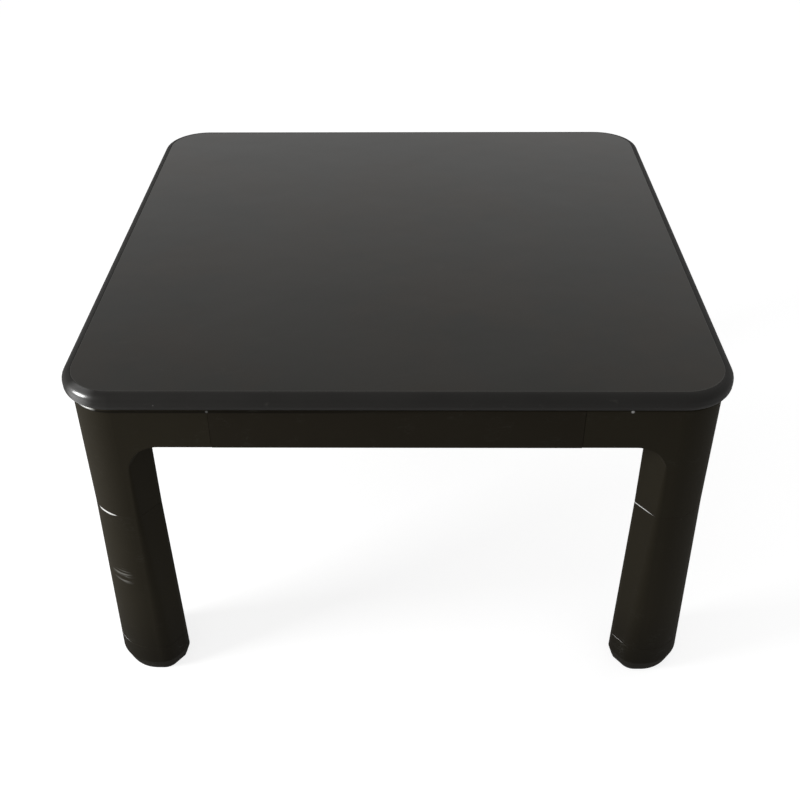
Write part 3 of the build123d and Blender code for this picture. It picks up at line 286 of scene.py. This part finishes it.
def edge_finish():
    """Black satin soft edge: a polished corner, a rubbed outer line and a joint at the rear."""
    fixed = {"Specular IOR Level": 0.1, "Coat Roughness": 0.25, "Coat IOR": 1.6}
    finish = Finish("satin_edge", fixed)
    cloud = finish.noise(45 * MM, 3)
    grain = finish.noise(0.7 * MM, 2)
    inside = inside_outline(finish, TOP_HIGH.x, TOP_CORNER_RADIUS)
    outermost = 1 - finish.between(inside, 0.2 * MM, 1.6 * MM)
    rubbed = finish.between(finish.noise(18 * MM, 4, rough=0.7), 0.6, 0.75) * outermost
    rear = finish.between(finish.y, 0.25, 0.26)
    joint = finish.line(finish.x, EDGE_JOINT_X, 0.35 * MM) * rear
    tone = finish.mix(cloud, (0.0115, 0.0108, 0.0098), (0.0175, 0.0167, 0.0154))
    tone = finish.mix(rubbed * 0.35, tone, (0.06, 0.058, 0.052))
    tone = finish.mix(joint * 0.8, tone, (0.002, 0.002, 0.002))
    tone = finish.mix(patch(finish, *EDGE_NICK) * 0.8, tone, (0.5, 0.5, 0.48))
    rough = 0.36 + 0.12 * cloud + 0.2 * rubbed + 0.3 * finish.grazing()
    normal = finish.bump(finish.noise(14 * MM, 2), 0.06 * MM)
    normal = finish.bump(grain - joint * 3, 0.015 * MM, normal)
    finish.link(patch(finish, *POLISHED_CORNER), finish.shader, "Coat Weight")
    return finish.made(tone, rough, normal)


def backing_finish():
    """Plain dark balancing sheet under the tabletop: speckled paper under dull resin."""
    finish = Finish("balancing_sheet", {"Specular IOR Level": 0.25})
    fibre = finish.noise(1, 4, finish.drawn_out((60, 420, 420)))
    cloud = finish.noise(80 * MM, 3)
    tone = finish.mix(fibre, (0.022, 0.019, 0.015), (0.045, 0.039, 0.031))
    tone = finish.mix(cloud * 0.4, tone, (0.018, 0.017, 0.015))
    rough = 0.5 + 0.2 * fibre
    return finish.made(tone, rough, finish.bump(fibre, 0.03 * MM))


def chipboard_finish():
    """Particle board: pressed wood chips of several browns."""
    finish = Finish("particle_board")
    chips = finish.cells(2.4 * MM, "Color")
    shade = finish.noise(9 * MM, 4, rough=0.7)
    tone = finish.mix(shade, (0.34, 0.22, 0.12), (0.62, 0.47, 0.3))
    tone = finish.mix(0.35, tone, chips, "SOFT_LIGHT")
    rough = 0.7 + 0.2 * shade
    return finish.made(tone, rough, finish.bump(finish.cells(2.4 * MM), 0.2 * MM))


# ---------------------------------------------------------------- frame and leg finishes


def seam_highlights(finish):
    """Painted highlights on the seams of legs and feet, white: a lens shape at each highlighted
    place.
    """
    highlighted = sum(patch(finish, place, reach) * share for place, reach, share in SEAM_HIGHLIGHTS)
    half = SEAM_HIGHLIGHT_THINNEST + SEAM_HIGHLIGHT_GROWTH * highlighted
    # Painted highlight lines along the leg and foot seams.
    leg = finish.line(finish.z, LEG_SEAM, half)
    foot = finish.line(finish.z, FOOT_SEAM, half)
    return (leg + foot) * finish.between(highlighted, 0.02, 0.2)


def rim_highlight_and_nicks(finish):
    """White marks on the rim under the tabletop: one long painted highlight at the front left, and
    two nicks.
    """
    nicks = sum(patch(finish, place, reach) * share for place, reach, share in RIM_NICKS)
    # A painted highlight along the rim at the front left.
    rim_glint = patch(finish, *RIM_HIGHLIGHT) * finish.line(finish.z, FRAME_TOP - 0.6 * MM, 2 * MM)
    return rim_glint + nicks


def rim_gap_shadow(finish, upward):
    """Painted shadow of the gap under the tabletop, along the rim's top edge, strongest at the
    front left, and none on its level face.
    """
    high = finish.between(finish.z, FRAME_TOP - 3.4 * MM, FRAME_TOP - 2 * MM)
    return patch(finish, *RIM_GAP_SHADOW) * (1 - finish.between(upward, 0.2, 0.6)) * high


def scrape(finish):
    """Level streaks where something has rubbed along a leg."""
    streaks = finish.noise(1, 3, finish.drawn_out((30, 30, 480)))
    return patch(finish, *SCRAPED_PLACE) * finish.between(streaks, 0.52, 0.66)


def plastic_finish(name, dark, light):
    """Black moulded plastic: flow clouds, a spark-eroded grain, scuffs near the floor and dust,
    darker towards the floor, with a painted shadow along the rim's top edge and painted highlights
    on the seams and rim.

    The painted highlights and the rim's nicks stay off level faces, which only show when pieces
    come apart.
    """
    finish = Finish(name, {"Specular IOR Level": 0.055, "Specular Tint": (1, 0.85, 0.62, 1)})
    cloud = finish.noise(70 * MM, 3)
    grain = finish.noise(0.9 * MM, 2)
    low = 1 - finish.between(finish.z, 0, 110 * MM)
    scuffed = finish.between(finish.noise(24 * MM, 3), 0.52, 0.7) * (0.12 + 0.25 * low)
    scuffs = finish.hairlines(40 * MM, 5 * MM, 0) + finish.hairlines(30 * MM, 4 * MM, 35)
    scuffs = (scuffs * scuffed).at_most(1)
    facing = finish.node("ShaderNodeNewGeometry", output="Normal")
    upward = finish.node("ShaderNodeSeparateXYZ", inputs={0: facing}, output="Z")
    level = finish.between(abs(upward), 0.8, 0.95)
    dust = finish.between(upward, 0.4, 0.95) * finish.noise(6 * MM, 4)
    gap_shadow_and_low_darkening = (low * 0.65 + rim_gap_shadow(finish, upward)).at_most(1)
    painted_highlights_and_nicks = (seam_highlights(finish) + rim_highlight_and_nicks(finish)).at_most(1) * (1 - level)
    tone = finish.mix(cloud, dark, light)
    # Painted shadow of the gap under the tabletop along the rim, and darker towards the floor.
    tone = finish.mix(gap_shadow_and_low_darkening, tone, (0.0015, 0.0013, 0.001))
    tone = finish.mix(dust * 0.25, tone, (0.06, 0.055, 0.047))
    tone = finish.mix(scuffs * 0.45, tone, (0.12, 0.117, 0.105))
    tone = finish.mix(scrape(finish) * 0.7, tone, (0.16, 0.157, 0.145))
    # Painted highlights on the seams and the rim, and white nicks on the rim.
    tone = finish.mix(painted_highlights_and_nicks * 0.9, tone, (0.75, 0.75, 0.73))
    rough = 0.42 + 0.1 * cloud + 0.1 * scuffs + 0.4 * finish.grazing()
    normal = finish.bump(finish.noise(26 * MM, 2), 0.12 * MM)
    normal = finish.bump(grain, 0.025 * MM, normal)
    return finish.made(tone, rough, normal)


def bar_finish(name, along):
    """Dark stained softwood: grain drawn out along the bar, with dark veins and fine pores."""
    finish = Finish(name, {"Specular IOR Level": 0.3})
    scale = [90, 90, 90]
    scale[along] = 6
    rings = finish.noise(1, 3, finish.drawn_out(scale), rough=0.6)
    fine = finish.noise(1, 3, finish.drawn_out([8 * s for s in scale]))
    veins = finish.line(rings, 0.5, 0.12)
    tone = finish.mix(rings, (0.012, 0.008, 0.005), (0.045, 0.029, 0.018))
    tone = finish.mix(veins * 0.4, tone, (0.008, 0.005, 0.004))
    tone = finish.mix(fine * 0.25, tone, (0.06, 0.042, 0.028))
    rough = 0.5 + 0.25 * fine
    return finish.made(tone, rough, finish.bump(rings * 0.5 + fine, 0.08 * MM))


def rubber_finish():
    """Dull black rubber with a powdery bloom."""
    finish = Finish("black_rubber", {"Specular IOR Level": 0.25})
    bloom = finish.noise(8 * MM, 4, rough=0.7)
    tone = finish.mix(bloom, (0.012, 0.012, 0.012), (0.03, 0.029, 0.027))
    rough = 0.7 + 0.2 * bloom
    return finish.made(tone, rough, finish.bump(finish.noise(0.6 * MM, 2), 0.03 * MM))


# ---------------------------------------------------------------- metal finishes


def plated_finish(name, bright, dull, rough_low=0.22):
    """Plated steel: a cloudy passivated film, fine brushing and small dull spots."""
    finish = Finish(name, {"Metallic": 1.0})
    film = finish.noise(5 * MM, 3)
    brushed = finish.noise(1, 2, finish.drawn_out((150, 2200, 2200)))
    spots = finish.between(finish.noise(2 * MM, 3), 0.6, 0.7)
    tone = finish.mix(film, bright, dull)
    tone = finish.mix(spots * 0.4, tone, (0.18, 0.17, 0.16))
    rough = rough_low + 0.16 * film + 0.2 * spots
    return finish.made(tone, rough, finish.bump(brushed, 0.008 * MM))


def case_finish():
    """Black heat-resistant paint on sheet steel: orange peel, cloudy gloss and settled dust."""
    finish = Finish("heat_resistant_paint", {"Specular IOR Level": 0.35})
    peel = finish.noise(1.6 * MM, 2)
    cloud = finish.noise(30 * MM, 3)
    dust = finish.between(finish.noise(12 * MM, 4), 0.5, 0.75)
    tone = finish.mix(cloud, (0.014, 0.014, 0.014), (0.024, 0.023, 0.021))
    tone = finish.mix(dust * 0.2, tone, (0.12, 0.11, 0.1))
    rough = 0.38 + 0.15 * cloud + 0.2 * dust
    return finish.made(tone, rough, finish.bump(peel, 0.04 * MM))


def reflector_finish():
    """Bright rolled aluminium: rolling lines, small dents and straw-coloured heat marks."""
    finish = Finish("bright_aluminium", {"Metallic": 1.0})
    rolled = finish.noise(1, 3, finish.drawn_out((12, 1400, 1400)))
    dents = finish.noise(16 * MM, 2)
    heated = finish.between(finish.noise(40 * MM, 3), 0.45, 0.75)
    tone = finish.mix(heated, (0.87, 0.87, 0.88), (0.78, 0.7, 0.55))
    rough = 0.16 + 0.14 * rolled + 0.1 * heated
    normal = finish.bump(dents, 0.25 * MM)
    return finish.made(tone, rough, finish.bump(rolled, 0.006 * MM, normal))


def coil_finish():
    """Resistance wire with a blue-grey oxide and brown scale."""
    finish = Finish("oxidised_wire", {"Metallic": 1.0})
    scale = finish.noise(4 * MM, 4)
    tone = finish.mix(scale, (0.16, 0.17, 0.2), (0.3, 0.2, 0.13))
    rough = 0.4 + 0.25 * scale
    return finish.made(tone, rough, finish.bump(finish.noise(0.4 * MM, 2), 0.01 * MM))


def brass_finish():
    """Turned brass: fine turning lines and a brown tarnish."""
    finish = Finish("turned_brass", {"Metallic": 1.0})
    turned = finish.noise(1, 2, finish.drawn_out((700, 3000, 700)))
    tarnish = finish.noise(3 * MM, 3)
    tone = finish.mix(tarnish, (0.83, 0.62, 0.28), (0.45, 0.3, 0.13))
    rough = 0.2 + 0.2 * tarnish
    return finish.made(tone, rough, finish.bump(turned, 0.01 * MM))


# ---------------------------------------------------------------- other heater finishes


def quartz_finish():
    """Clouded quartz tube: milky glass with draw lines along it."""
    finish = Finish("clouded_quartz", {"Transmission Weight": 0.9, "IOR": 1.46})
    milk = finish.noise(9 * MM, 3)
    drawn = finish.noise(1, 2, finish.drawn_out((20, 900, 900)))
    tone = finish.mix(milk, (0.9, 0.84, 0.8), (0.97, 0.95, 0.93))
    rough = 0.12 + 0.2 * milk
    return finish.made(tone, rough, finish.bump(drawn, 0.01 * MM))


def ceramic_finish():
    """Unglazed steatite: chalky cream with pits and handling grey."""
    finish = Finish("steatite", {"Specular IOR Level": 0.4})
    grey = finish.noise(6 * MM, 4)
    pits = finish.between(finish.noise(1.1 * MM, 2), 0.6, 0.68)
    tone = finish.mix(grey, (0.78, 0.74, 0.66), (0.6, 0.56, 0.5))
    tone = finish.mix(pits * 0.5, tone, (0.3, 0.27, 0.23))
    rough = 0.55 + 0.2 * grey
    return finish.made(tone, rough, finish.bump(1 - pits, 0.05 * MM))


def flock_finish():
    """Short dark flock on the guard: a soft pile with lint and pressed places."""
    finish = Finish(
        "flocked_guard",
        {"Sheen Weight": 0.35, "Sheen Roughness": 0.5, "Specular IOR Level": 0.1},
    )
    pile = finish.noise(0.5 * MM, 3, rough=0.7)
    pressed = finish.noise(15 * MM, 3)
    lint = finish.between(finish.noise(1.5 * MM, 4, rough=0.75), 0.66, 0.72)
    tone = finish.mix(pressed, (0.012, 0.0105, 0.0095), (0.024, 0.02, 0.018))
    tone = finish.mix(pile * 0.5, tone, (0.035, 0.03, 0.027))
    tone = finish.mix(lint * 0.4, tone, (0.2, 0.19, 0.18))
    rough = 0.8 + 0.15 * pile
    return finish.made(tone, rough, finish.bump(pile, 0.25 * MM))


def phenolic_finish():
    """Black phenolic moulding: semi-gloss with mineral specks."""
    finish = Finish("phenolic", {"Specular IOR Level": 0.45})
    specks = finish.between(finish.noise(0.8 * MM, 2), 0.62, 0.7)
    flow = finish.noise(10 * MM, 3)
    tone = finish.mix(flow, (0.012, 0.011, 0.01), (0.022, 0.019, 0.017))
    tone = finish.mix(specks * 0.3, tone, (0.1, 0.09, 0.08))
    rough = 0.28 + 0.15 * flow
    return finish.made(tone, rough, finish.bump(flow, 0.03 * MM))


def sleeve_finish():
    """Braided glass-fibre sleeve: pale crossed strands, yellowed by heat in places."""
    finish = Finish("glass_fibre_sleeve", {"Specular IOR Level": 0.3})
    one_way = finish.noise(1, 1, finish.drawn_out((1500, 500, 1500), (0, 0, radians(45))))
    other_way = finish.noise(1, 1, finish.drawn_out((1500, 500, 1500), (0, 0, radians(-45))))
    braid = one_way.at_least(other_way)
    heated = finish.noise(14 * MM, 3)
    tone = finish.mix(heated, (0.62, 0.59, 0.5), (0.5, 0.42, 0.28))
    tone = finish.mix(braid * 0.5, tone, (0.75, 0.73, 0.68))
    rough = 0.6 + 0.2 * braid
    return finish.made(tone, rough, finish.bump(braid, 0.12 * MM))


# ---------------------------------------------------------------- heating coil

WIRE_RADIUS = 0.35 * MM
TURN_PITCH = 2.2 * MM
STEPS_PER_TURN = 16
WIRE_SIDES = 6


def tube_line(length, half_pitch, bend_x, end_x, level):
    """Points and outward side directions along the U at given lengths.

    The line runs straight towards -X at y = -half_pitch, turns a half circle about (bend_x, 0) and
    runs straight back at y = +half_pitch. The side direction is the half circle's radius, and on
    the straights it stays level with the half circle's two ends.
    """
    straight = end_x - bend_x
    arc = pi * half_pitch
    turned = np.clip((length - straight) / arc, 0, 1) * pi
    before = np.clip(straight - length, 0, None)
    after = np.clip(length - straight - arc, 0, None)
    side = np.stack([-np.sin(turned), -np.cos(turned), 0 * turned], axis=1)
    centre = np.stack([bend_x + before + after, 0 * turned, level + 0 * turned], axis=1)
    return centre + half_pitch * side, side


def make_coil():
    """The heating wire: a ring of points carried along a helix that is itself wound along the U.

    At length s the helix stands a winding radius from the U's line, at the angle 2 pi s / pitch
    between the line's side direction and straight up. The ring lies across the helix.
    """
    winding_radius = (COIL_HIGH.z - COIL_LOW.z) / 2 - WIRE_RADIUS
    level = (COIL_HIGH.z + COIL_LOW.z) / 2
    half_pitch = (COIL_HIGH.y - COIL_LOW.y) / 2 - winding_radius - WIRE_RADIUS
    bend_x = COIL_LOW.x + winding_radius + WIRE_RADIUS + half_pitch
    total = 2 * (COIL_HIGH.x - WIRE_RADIUS - bend_x) + pi * half_pitch
    count = int(total / TURN_PITCH * STEPS_PER_TURN)
    length = np.linspace(0, total, count)
    line, side = tube_line(length, half_pitch, bend_x, COIL_HIGH.x - WIRE_RADIUS, level)
    angle = (2 * pi * length / TURN_PITCH)[:, None]
    outward = np.cos(angle) * side + np.sin(angle) * np.array([0, 0, 1.0])
    helix = line + winding_radius * outward
    along = np.gradient(helix, axis=0)
    along /= np.linalg.norm(along, axis=1, keepdims=True)
    across = np.cross(along, outward)
    turn = np.linspace(0, 2 * pi, WIRE_SIDES, endpoint=False)
    rings = (
        helix[:, None, :]
        + WIRE_RADIUS * np.cos(turn)[None, :, None] * outward[:, None, :]
        + WIRE_RADIUS * np.sin(turn)[None, :, None] * across[:, None, :]
    )
    return tube_mesh("heating_coil", rings)


def tube_mesh(name, rings):
    """A closed tube through rings of points, with a flat cap on each end."""
    count, sides = rings.shape[:2]
    ring = np.arange(count - 1)[:, None] * sides
    step = np.arange(sides)[None, :]
    after = (step + 1) % sides
    near, far = ring, ring + sides
    quads = np.stack([near + step, near + after, far + after, far + step], axis=-1)
    faces = quads.reshape(-1, 4).tolist()
    faces.append(list(range(sides))[::-1])
    faces.append([(count - 1) * sides + k for k in range(sides)])
    mesh = bpy.data.meshes.new(name)
    mesh.from_pydata(rings.reshape(-1, 3).tolist(), [], faces)
    mesh.shade_smooth()
    piece = bpy.data.objects.new(name, mesh)
    bpy.context.scene.collection.objects.link(piece)
    return piece


# ---------------------------------------------------------------- putting it together


def coat(material, *names):
    """Gives CAD nodes a finish."""
    for name in names:
        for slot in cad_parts[name].material_slots:
            slot.material = material


def corners(kind):
    """The names of a kind of node at the four corners."""
    return [f"{kind}_{end}_{side}" for end in ("front", "rear") for side in ("left", "right")]


def finish_object():
    """Gives every CAD node its finish."""
    coat(laminate_finish(), "tabletop_laminate")
    coat(edge_finish(), "tabletop_edge")
    coat(backing_finish(), "tabletop_underside")
    coat(chipboard_finish(), "tabletop_core")

    dark, light = (0.0112, 0.0096, 0.0062), (0.016, 0.0138, 0.0092)
    leg_plastic = plastic_finish("black_plastic", dark, light)
    dark, light = (0.0094, 0.0078, 0.0052), (0.0132, 0.0112, 0.0078)
    rail_plastic = plastic_finish("rail_plastic", dark, light)
    coat(leg_plastic, *corners("corner"), *corners("leg"), *corners("foot"))
    coat(rail_plastic, "rail_front", "rail_rear", "rail_left", "rail_right")
    coat(bar_finish("stained_bar_lengthwise", 1), "crossbar_left", "crossbar_right")
    coat(bar_finish("stained_bar_crosswise", 0), "batten_front", "batten_rear")
    coat(rubber_finish(), "bumpers", *corners("glide"))

    zinc = plated_finish("zinc_plating", (0.62, 0.62, 0.63), (0.5, 0.49, 0.47))
    black_oxide = plated_finish("black_oxide", (0.05, 0.05, 0.052), (0.09, 0.085, 0.08), 0.3)
    coat(zinc, "rail_screws", "crossbar_screws", "batten_screws", "heater_screws", "guard_screws")
    coat(zinc, "nut_plates", "thermal_fuse")
    coat(black_oxide, "leg_bolts")
    spring_steel = plated_finish("spring_steel", (0.7, 0.7, 0.7), (0.58, 0.55, 0.5))
    coat(spring_steel, "tube_bracket", "tube_clip", "thermostat")

    coat(case_finish(), "heater_case")
    coat(reflector_finish(), "heater_reflector")
    coat(quartz_finish(), "heater_tube")
    coat(ceramic_finish(), "tube_holders", "terminal_block")
    coat(flock_finish(), "heater_guard")
    coat(phenolic_finish(), "cord_inlet")
    coat(brass_finish(), "inlet_pins")
    coat(sleeve_finish(), "heater_leads")


def add_coil():
    """Shows the wound wire in place of the plain rod."""
    coil = make_coil()
    coil.data.materials.append(coil_finish())
    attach(coil, "frame")
    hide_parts("heater_coil")


# ---------------------------------------------------------------- studio


def seen_share(nodes):
    """1 for a ray that sees the background, straight or mirrored, and 0 for one that lights."""
    rays = nodes.node("ShaderNodeLightPath").socket.node.outputs
    looks = ("Is Camera Ray", "Is Glossy Ray", "Is Transmission Ray")
    camera, glossy, through = (Value(nodes, rays[name]) for name in looks)
    return (camera + glossy + through).at_most(1)


def make_sky():
    """A white surround that lights at a plainer level than it is seen."""
    world = bpy.data.worlds.new("surround")
    world.use_nodes = True
    bpy.context.scene.world = world
    nodes = Nodes(world.node_tree)
    background = world.node_tree.nodes["Background"]
    background.inputs["Color"].default_value = (1, 1, 1, 1)
    nodes.link(SKY_LIGHT + (1 - SKY_LIGHT) * seen_share(nodes), background, "Strength")


def make_floor():
    """A pale floor that reads white where nothing shades it."""
    material = bpy.data.materials.new("studio_floor")
    material.use_nodes = True
    nodes = Nodes(material.node_tree)
    shader = material.node_tree.nodes["Principled BSDF"]
    shader.inputs["Base Color"].default_value = FLOOR_COLOUR
    shader.inputs["Roughness"].default_value = 1
    shader.inputs["Specular IOR Level"].default_value = 0
    shader.inputs["Emission Color"].default_value = (1, 1, 1, 1)
    nodes.link(FLOOR_GLOW * seen_share(nodes), shader, "Emission Strength")
    half = FLOOR_HALF_WIDTH
    points = [(-half, -half, 0), (half, -half, 0), (half, half, 0), (-half, half, 0)]
    mesh = bpy.data.meshes.new("studio_floor")
    mesh.from_pydata(points, [], [(0, 1, 2, 3)])
    mesh.materials.append(material)
    floor = bpy.data.objects.new("studio_floor", mesh)
    bpy.context.scene.collection.objects.link(floor)


def make_lamp(name, place, width, watts, skips):
    """A square soft lamp that points at the table, and lights all of it but the nodes it skips."""
    lamp = bpy.data.lights.new(name, "AREA")
    lamp.size = width
    lamp.energy = watts
    holder = bpy.data.objects.new(name, lamp)
    holder.location = place
    beam = Vector(LAMP_TARGET) - Vector(place)
    holder.rotation_euler = beam.to_track_quat("-Z", "Y").to_euler()
    bpy.context.scene.collection.objects.link(holder)
    if skips:
        unlit = bpy.data.collections.new(name + "_skips")
        for node in skips:
            unlit.objects.link(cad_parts[node])
        for member in unlit.collection_objects:
            member.light_linking.link_state = "EXCLUDE"
        holder.light_linking.receiver_collection = unlit


def make_camera():
    """The camera: pitched down, then turned and leaned a little."""
    camera = bpy.data.cameras.new("camera")
    camera.lens = CAMERA_LENS
    holder = bpy.data.objects.new("camera", camera)
    turn = Matrix.Rotation(radians(CAMERA_TURN), 4, "Z")
    pitch = Matrix.Rotation(radians(90 - CAMERA_PITCH), 4, "X")
    lean = Matrix.Rotation(radians(CAMERA_LEAN), 4, "Z")
    holder.matrix_world = Matrix.Translation(CAMERA_PLACE) @ turn @ pitch @ lean
    bpy.context.scene.collection.objects.link(holder)
    bpy.context.scene.camera = holder


make_camera()
make_sky()
make_floor()
for lamp_row in LAMPS:
    make_lamp(*lamp_row)
finish_object()
add_coil()
bpy.context.scene.view_settings.view_transform = "Standard"
